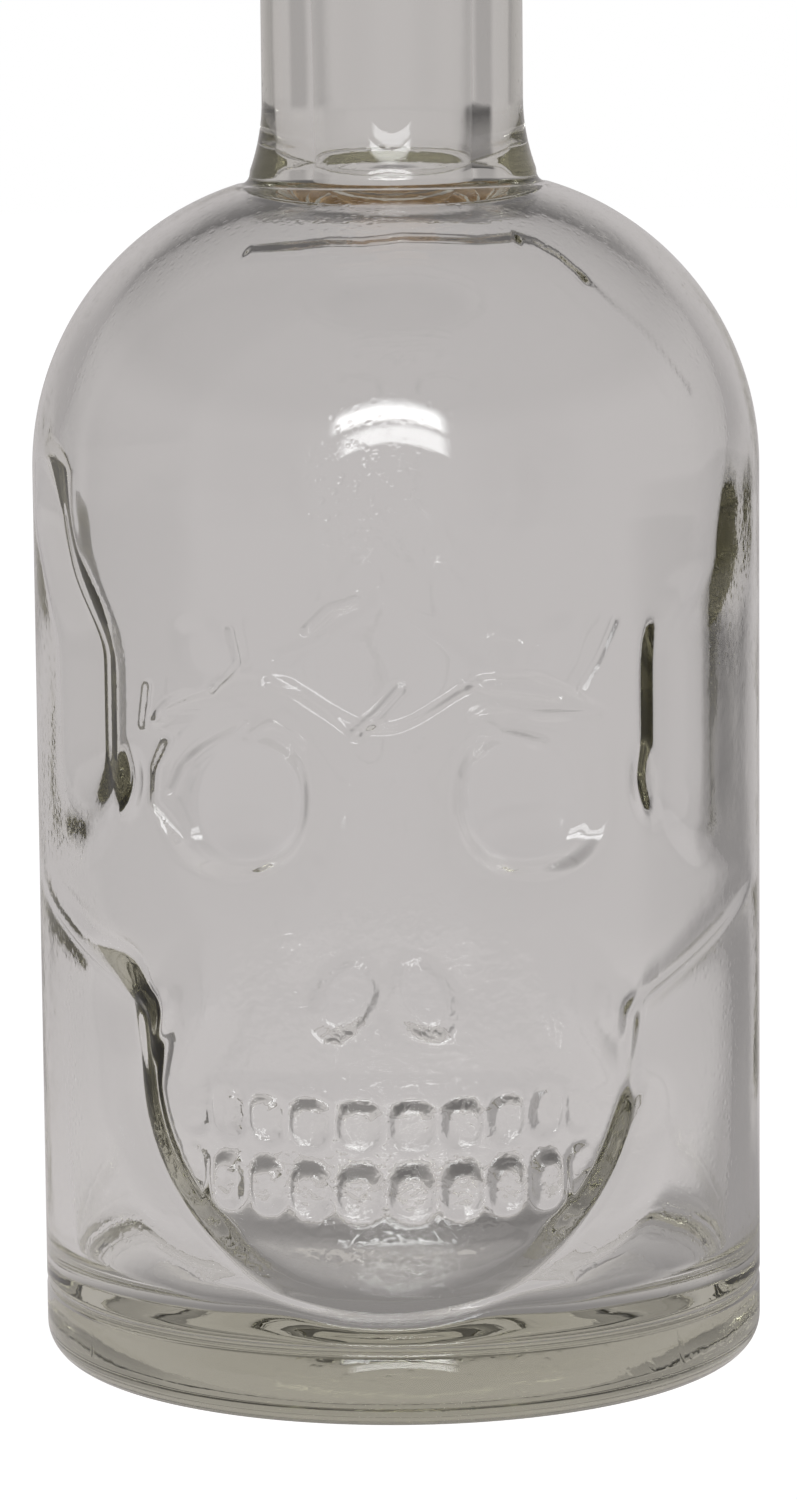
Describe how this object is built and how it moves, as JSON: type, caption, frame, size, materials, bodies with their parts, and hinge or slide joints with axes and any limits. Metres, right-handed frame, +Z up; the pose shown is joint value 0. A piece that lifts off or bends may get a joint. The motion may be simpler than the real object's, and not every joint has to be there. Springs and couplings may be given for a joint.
{
  "type": "skull decanter",
  "caption": "Round glass decanter with a skull moulded into its front, a heavy base, a rounded shoulder and a cork stopper with a wooden head that lifts out of the neck.",
  "frame": {"origin": "centre of the circle that the base stands on, on the bottle's axis", "axes": "+Z up along the bottle's axis, the skull looks along -Y, +X to the skull's left hand side as a viewer's right"},
  "size_m": [0.084, 0.084, 0.1873],
  "materials": {
    "clear_glass": "clear flint glass with a faint olive tint, fire polished",
    "turned_wood": "turned and waxed",
    "natural_cork": "natural cork, matt and pitted"
  },
  "bodies": {
    "bottle": {"bottle": "clear_glass"},
    "stopper": {"stopper_head": "turned_wood", "stopper_cork": "natural_cork"}
  },
  "joints": [
    {"name": "stopper_lift", "type": "slide", "parent": "bottle", "child": "stopper", "axis": [0, 0, 1], "range_m": [0, 0.06]}
  ]
}
